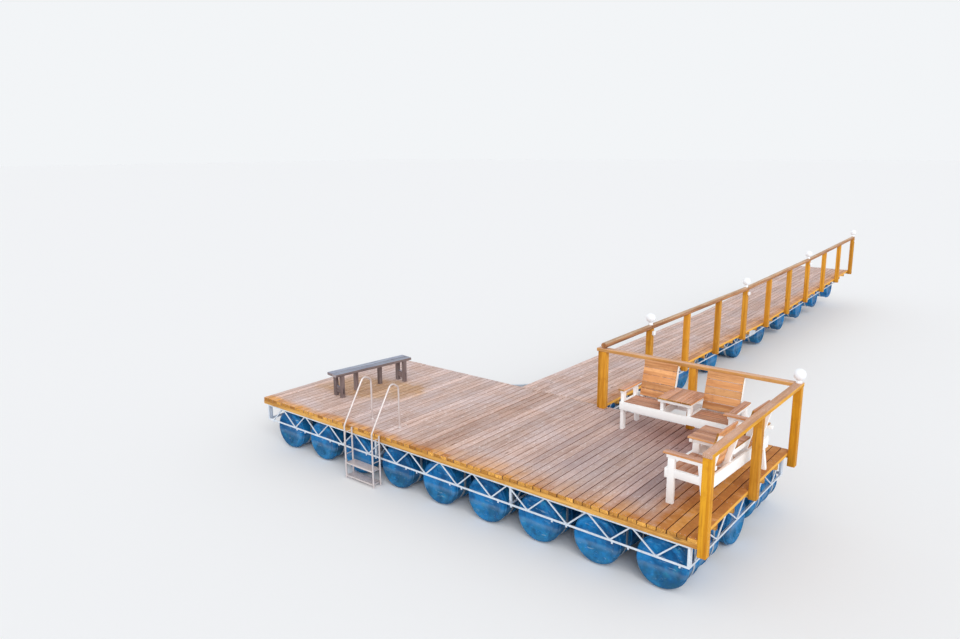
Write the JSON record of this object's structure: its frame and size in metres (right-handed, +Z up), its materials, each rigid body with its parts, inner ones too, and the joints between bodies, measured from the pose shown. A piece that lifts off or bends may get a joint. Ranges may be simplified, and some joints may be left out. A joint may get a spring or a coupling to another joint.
{
  "type": "floating wooden jetty",
  "caption": "Floating jetty: boarded platform on blue drums under a steel truss frame, ladder, seats, bench, and a long gangway with log rail and lamps.",
  "frame": {"origin": "centre of the bounding box, on the floor under the floats", "axes": "+X along the platform's front edge to the side with the rail, +Y along the gangway to the shore, +Z up"},
  "size_m": [7.325, 17.5054, 2.2008],
  "materials": {
    "deck_boards": "matt",
    "oiled_timber": "satin",
    "log_wood": "satin",
    "galvanized": "satin",
    "drum_blue": "satin",
    "strap_steel": "satin",
    "white_plastic": "gloss",
    "stainless": "satin",
    "bench_grey": "matt",
    "white_paint": "satin",
    "seat_plank": "satin"
  },
  "bodies": {
    "root": {"platform_deck": "deck_boards", "platform_joists": "oiled_timber", "gangway_deck": "deck_boards", "gangway_joists": "oiled_timber", "shore_deck": "deck_boards", "shore_joists": "oiled_timber", "front_truss": "galvanized", "back_truss": "galvanized", "left_truss": "galvanized", "right_truss": "galvanized", "cross_trusses": "galvanized", "gangway_left_truss": "galvanized", "gangway_right_truss": "galvanized", "shore_left_truss": "galvanized", "shore_right_truss": "galvanized", "platform_bearers": "galvanized", "gangway_bearers": "galvanized", "shore_bearers": "galvanized", "corner_braces": "galvanized", "joint_plates": "galvanized", "front_floats": "drum_blue", "back_floats": "drum_blue", "middle_floats": "drum_blue", "gangway_floats": "drum_blue", "shore_floats": "drum_blue", "platform_straps": "strap_steel", "gangway_straps": "strap_steel", "shore_straps": "strap_steel", "right_posts": "oiled_timber", "back_posts": "oiled_timber", "right_rail": "oiled_timber", "back_rail": "oiled_timber", "gangway_posts": "oiled_timber", "shore_posts": "oiled_timber", "log_rails": "log_wood", "lamp_holders": "white_plastic", "lamp_globes": "white_plastic", "junction_boxes": "white_plastic", "ladder_sides": "stainless", "ladder_treads": "stainless", "bench_top": "bench_grey", "bench_legs": "bench_grey", "back_seat_frame": "white_paint", "back_seat_planks": "seat_plank", "right_seat_frame": "white_paint", "right_seat_planks": "seat_plank"}
  },
  "joints": []
}
